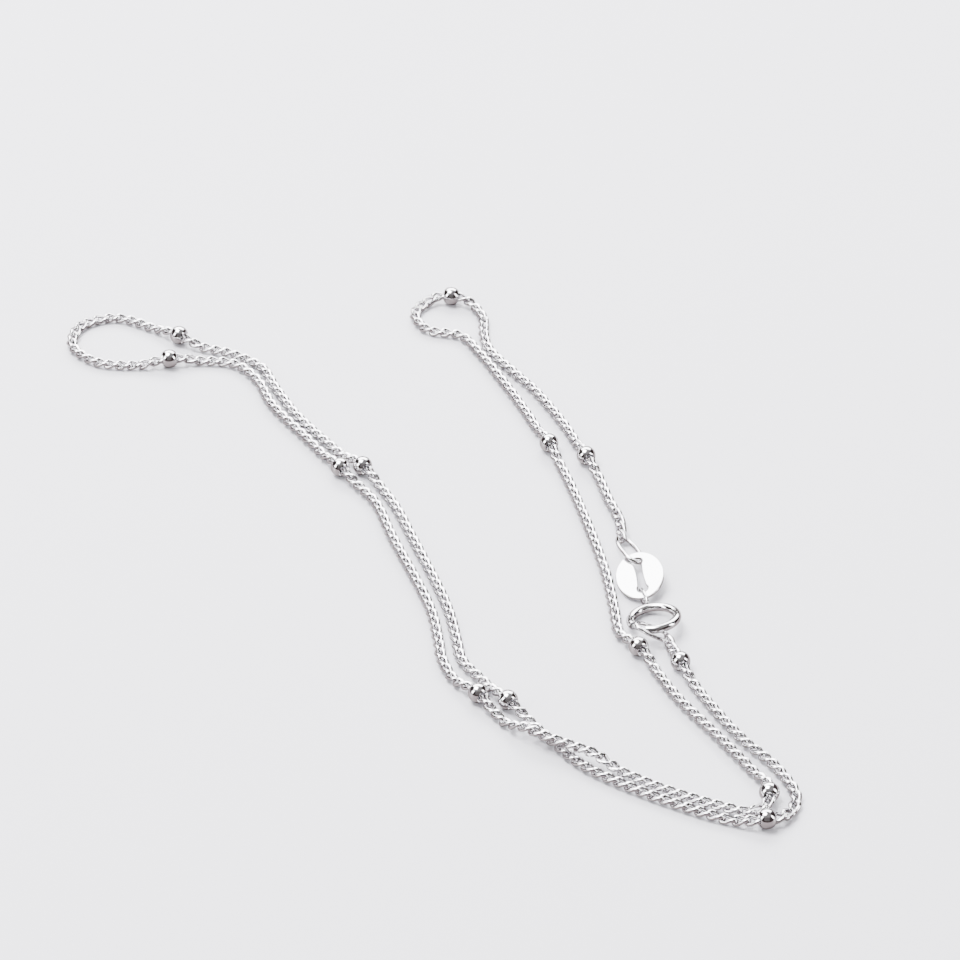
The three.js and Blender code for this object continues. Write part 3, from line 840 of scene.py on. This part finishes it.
class NECKLACE_OT_clasp_ring(bpy.types.Operator):
    """Make the spring ring's hollow tube, with its gap, trigger slot and soldered eye"""

    bl_idname = "necklace.clasp_ring"
    bl_label = "Spring Ring"
    bl_options = {"REGISTER", "UNDO"}

    slot_margin = math.radians(5)  # from the trigger's middle, at either limit, to the slot's end
    slot_play = 0.07  # from the trigger's sides to the slot's, in mm
    mouth_round = 0.3  # how far the tube's ends and slot are rounded, as a share of its wall
    # Painted shade: the tube's inside is given the full dark colour.
    inside = 0.6  # deeper than this share of the wall the tube is dark
    # The drop of solder at the eye's foot: its radius as a share of the eye's wire, how far its
    # middle lies behind that foot in mm, its height as a share of the eye's, and its stretch.
    solder_share = 0.62
    solder_sunk = 0.06
    solder_height = 0.6
    solder_swell = (0.9, 1.25, 1.1)

    def tube(self, ring):
        bm = bmesh.new()
        sizes = ring.sizes
        ring.sweep(bm, sizes["tube"], ring.gap_to - 2 * math.pi, ring.gap_from, steps=108, sides=24)
        slot_from = sizes["trigger_at"] - sizes["bolt_travel"] - self.slot_margin
        slot_to = sizes["trigger_at"] + self.slot_margin
        slot_half_width = sizes["trigger"] / 2 + self.slot_play
        slot = []
        for face in bm.faces:
            spot = face.calc_center_median()
            turn = math.atan2(spot.y, spot.x) % (2 * math.pi)
            under = spot.z < 0 and abs(math.hypot(spot.x, spot.y) - ring.radius) < slot_half_width
            if under and slot_from < turn < slot_to:
                slot.append(face)
        bmesh.ops.delete(bm, geom=slot, context="FACES")
        bmesh.ops.recalc_face_normals(bm, faces=bm.faces)
        bmesh.ops.solidify(bm, geom=bm.faces[:], thickness=sizes["wall"])
        bmesh.ops.recalc_face_normals(bm, faces=bm.faces)
        mouths = [edge for edge in bm.edges if edge.is_manifold and edge.calc_face_angle() > CORNER]
        bmesh.ops.bevel(
            bm, geom=mouths, offset=sizes["wall"] * self.mouth_round, segments=2, profile=0.5,
            affect="EDGES", material=-1)
        # Painted shade inside the hollow tube.
        recess = bm.verts.layers.float.new("recess")
        inside_radius = sizes["tube"] / 2 - sizes["wall"] * self.inside
        for vert in bm.verts:
            across = math.hypot(math.hypot(vert.co.x, vert.co.y) - ring.radius, vert.co.z)
            vert[recess] = 1.0 if across < inside_radius else 0.0
        return bm

    def eye(self, bm, ring):
        sizes = ring.sizes
        path = oval_path(sizes["eye_half_length"], sizes["eye_half_height"])
        loop = wire_loop(bm, path, sizes["eye_wire"], steps=48, sides=16)
        root = sizes["outer"] / 2 - sizes["eye_solder"]
        place = (Matrix.Rotation(sizes["eye_at"], 4, "Z")
                 @ Matrix.Translation((root, 0, sizes["eye_raise"]))
                 @ Matrix.Rotation(-sizes["eye_pitch"], 4, "Y")
                 @ Matrix.Translation((sizes["eye_half_length"], 0, 0))
                 @ Matrix.Rotation(math.pi / 2 + sizes["eye_turn"], 4, "X"))
        bmesh.ops.transform(bm, matrix=place, verts=loop)
        bmesh.ops.create_uvsphere(
            bm, u_segments=20, v_segments=12, radius=sizes["eye_wire"] * self.solder_share,
            matrix=Matrix.Rotation(sizes["eye_at"], 4, "Z")
            @ Matrix.Translation((root - self.solder_sunk, 0, sizes["eye_raise"] * self.solder_height))
            @ Matrix.Diagonal((*self.solder_swell, 1.0)))

    def execute(self, context):
        ring = SpringRing(context.scene)
        bm = self.tube(ring)
        self.eye(bm, ring)
        bmesh.ops.transform(bm, matrix=ring.place, verts=bm.verts)
        finish_piece("spring_ring_tube", bm, "clasp_ring", BODY, "clasp_silver", sharp=SHARP)
        return {"FINISHED"}


class NECKLACE_OT_clasp_bolt(bpy.types.Operator):
    """Make the spring ring's sliding wire with its trigger"""

    bl_idname = "necklace.clasp_bolt"
    bl_label = "Clasp Bolt"
    bl_options = {"REGISTER", "UNDO"}

    end_round = 0.2  # how far the wire's ends are rounded, as a share of its diameter
    trigger_round = 0.05  # how far the trigger's rim is rounded, in mm

    def execute(self, context):
        ring = SpringRing(context.scene)
        sizes = ring.sizes
        bm = bmesh.new()
        start = sizes["trigger_at"] - sizes["bolt_tail"]
        end = ring.gap_to + sizes["bolt_tip"]
        ring.sweep(bm, sizes["bolt_wire"], start, end, steps=40, sides=20)
        caps = bmesh.ops.holes_fill(bm, edges=[edge for edge in bm.edges if edge.is_boundary])["faces"]
        bmesh.ops.bevel(
            bm, geom=[edge for face in caps for edge in face.edges],
            offset=sizes["bolt_wire"] * self.end_round, segments=3, profile=0.5,
            affect="EDGES", material=-1)
        height = sizes["tube"] / 2 + sizes["trigger_height"]
        knob = bmesh.ops.create_cone(
            bm, cap_ends=True, segments=20, radius1=sizes["trigger"] / 2, radius2=sizes["trigger"] / 2,
            depth=height, matrix=Matrix.Rotation(sizes["trigger_at"], 4, "Z")
            @ Matrix.Translation((ring.radius, 0, -height / 2)))
        rim = once_each(
            edge for vert in knob["verts"] for edge in vert.link_edges
            if edge.is_manifold and edge.calc_face_angle() > CORNER and edge.verts[0].co.z < -height / 2)
        bmesh.ops.bevel(
            bm, geom=rim, offset=self.trigger_round, segments=3, profile=0.5,
            affect="EDGES", material=-1)
        bmesh.ops.transform(bm, matrix=ring.place, verts=bm.verts)
        bm.verts.layers.float.new("recess")
        finish_piece("bolt_wire", bm, "clasp_bolt", BOLT_BODY, "spring_steel", sharp=SHARP)
        return {"FINISHED"}


# ---------------------------------------------------------------- stage
# Soft rectangular lights, turned to the middle: place and size in metres, power in watts.
Lamp = namedtuple("Lamp", "name place size power")
LAMPS = (
    Lamp("back_softbox", place=(0.0, 0.55, 0.42), size=(0.9, 0.4), power=15.0),
    Lamp("top_softbox", place=(-0.22, 0.1, 0.66), size=(0.4, 0.4), power=14.0),
    Lamp("ceiling", place=(0.0, 0.1, 1.2), size=(2.0, 2.0), power=3.5),
    Lamp("front_fill", place=(0.0, -0.9, 0.6), size=(1.2, 0.8), power=0.35),
    Lamp("left_softbox", place=(-0.6, -0.2, 0.35), size=(0.2, 0.4), power=4.0),
    Lamp("right_strip", place=(0.6, -0.1, 0.3), size=(0.12, 0.4), power=3.0),
)


class NECKLACE_OT_stage(bpy.types.Operator):
    """Lay the pale surface, the soft lights and the camera"""

    bl_idname = "necklace.stage"
    bl_label = "Stage"
    bl_options = {"REGISTER", "UNDO"}

    floor_reach = 3.0  # how far the surface goes each way, in metres
    # The camera's aim on the surface, its distance and what it sees between, in metres, its
    # elevation, and its lens and sensor, in millimetres.
    aim = Vector((0.007675, 0.011327, 0.0))
    distance = 0.461
    clip = (0.01, 20.0)
    elevation = math.radians(37.9)
    lens = 157.5
    sensor = 36.0

    def floor(self, look):
        bm = bmesh.new()
        bmesh.ops.create_grid(bm, x_segments=1, y_segments=1, size=self.floor_reach)
        mesh = bpy.data.meshes.new("surface")
        bm.to_mesh(mesh)
        bm.free()
        material = bpy.data.materials.new("pale_surface")
        material.use_nodes = True
        tree = material.node_tree
        # Painted shade: glossy rays see the surface in its darker reflected colour.
        path = tree.nodes.new("ShaderNodeLightPath")
        cloud = noise(tree, object_place(tree), scale=6.0, detail=2.0)
        fill(tree.nodes["Principled BSDF"], {
            "Base Color": mixed_colour(
                tree, path.outputs["Is Glossy Ray"], (*look.floor, 1.0), (*look.reflected_floor, 1.0)),
            "Roughness": ramp(tree, cloud, low=0.2, high=0.8, out_low=0.42, out_high=0.5)})
        mesh.materials.append(material)
        surface = bpy.data.objects.new("surface", mesh)
        bpy.context.scene.collection.objects.link(surface)

    def world(self, look):
        world = bpy.data.worlds.new("studio")
        bpy.context.scene.world = world
        world.use_nodes = True
        tree = world.node_tree
        reflected = tree.nodes["Background"]
        fill(reflected, {"Color": (*look.surroundings, 1.0)})
        seen = tree.nodes.new("ShaderNodeBackground")
        fill(seen, {"Color": (*look.backdrop, 1.0)})
        choice = tree.nodes.new("ShaderNodeMixShader")
        path = tree.nodes.new("ShaderNodeLightPath")
        tree.links.new(path.outputs["Is Camera Ray"], choice.inputs["Fac"])
        tree.links.new(reflected.outputs["Background"], choice.inputs[1])
        tree.links.new(seen.outputs["Background"], choice.inputs[2])
        tree.links.new(choice.outputs["Shader"], tree.nodes["World Output"].inputs["Surface"])

    def light(self, lamp):
        data = bpy.data.lights.new(lamp.name, "AREA")
        data.shape = "RECTANGLE"
        data.size, data.size_y = lamp.size
        data.energy = lamp.power
        light = bpy.data.objects.new(lamp.name, data)
        light.location = lamp.place
        light.rotation_euler = (-light.location).to_track_quat("-Z", "Y").to_euler()
        light.visible_camera = False
        bpy.context.scene.collection.objects.link(light)

    def execute(self, context):
        look = context.scene.necklace_stage
        self.floor(look)
        self.world(look)
        for lamp in LAMPS:
            self.light(lamp)
        data = bpy.data.cameras.new("camera")
        data.lens = self.lens
        data.sensor_width = self.sensor
        data.clip_start, data.clip_end = self.clip
        camera = bpy.data.objects.new("camera", data)
        back = Vector((0.0, -math.cos(self.elevation), math.sin(self.elevation)))
        camera.location = self.aim + back * self.distance
        camera.rotation_euler = (-back).to_track_quat("-Z", "Y").to_euler()
        context.scene.collection.objects.link(camera)
        context.scene.camera = camera
        return {"FINISHED"}


# ---------------------------------------------------------------- the add-on
class NECKLACE_PT_sidebar(bpy.types.Panel):
    """The necklace's pieces, sizes and finishes"""

    bl_idname = "NECKLACE_PT_sidebar"
    bl_label = "Satellite Chain Necklace"
    bl_space_type = "VIEW_3D"
    bl_region_type = "UI"
    bl_category = "Necklace"

    def draw(self, context):
        layout = self.layout
        for operator in OPERATORS:
            layout.operator(operator.bl_idname)
        for attribute, group in GROUPS.items():
            box = layout.box()
            box.label(text=group.__doc__)
            for name in group.__annotations__:
                box.prop(getattr(context.scene, attribute), name)


OPERATORS = (
    NECKLACE_OT_chain,
    NECKLACE_OT_end_links,
    NECKLACE_OT_beads,
    NECKLACE_OT_jump_rings,
    NECKLACE_OT_tag,
    NECKLACE_OT_clasp_ring,
    NECKLACE_OT_clasp_bolt,
    NECKLACE_OT_stage,
)
CLASSES = (*GROUPS.values(), *OPERATORS, NECKLACE_PT_sidebar)


def register():
    for cls in CLASSES:
        bpy.utils.register_class(cls)
    for attribute, group in GROUPS.items():
        setattr(bpy.types.Scene, attribute, bpy.props.PointerProperty(type=group))


def unregister():
    for attribute in GROUPS:
        delattr(bpy.types.Scene, attribute)
    for cls in reversed(CLASSES):
        bpy.utils.unregister_class(cls)


def main():
    register()
    bpy.ops.necklace.stage()
    bpy.ops.necklace.chain()
    bpy.ops.necklace.end_links()
    bpy.ops.necklace.beads()
    bpy.ops.necklace.jump_rings()
    bpy.ops.necklace.tag()
    bpy.ops.necklace.clasp_ring()
    bpy.ops.necklace.clasp_bolt()


if __name__ == "__main__":
    main()
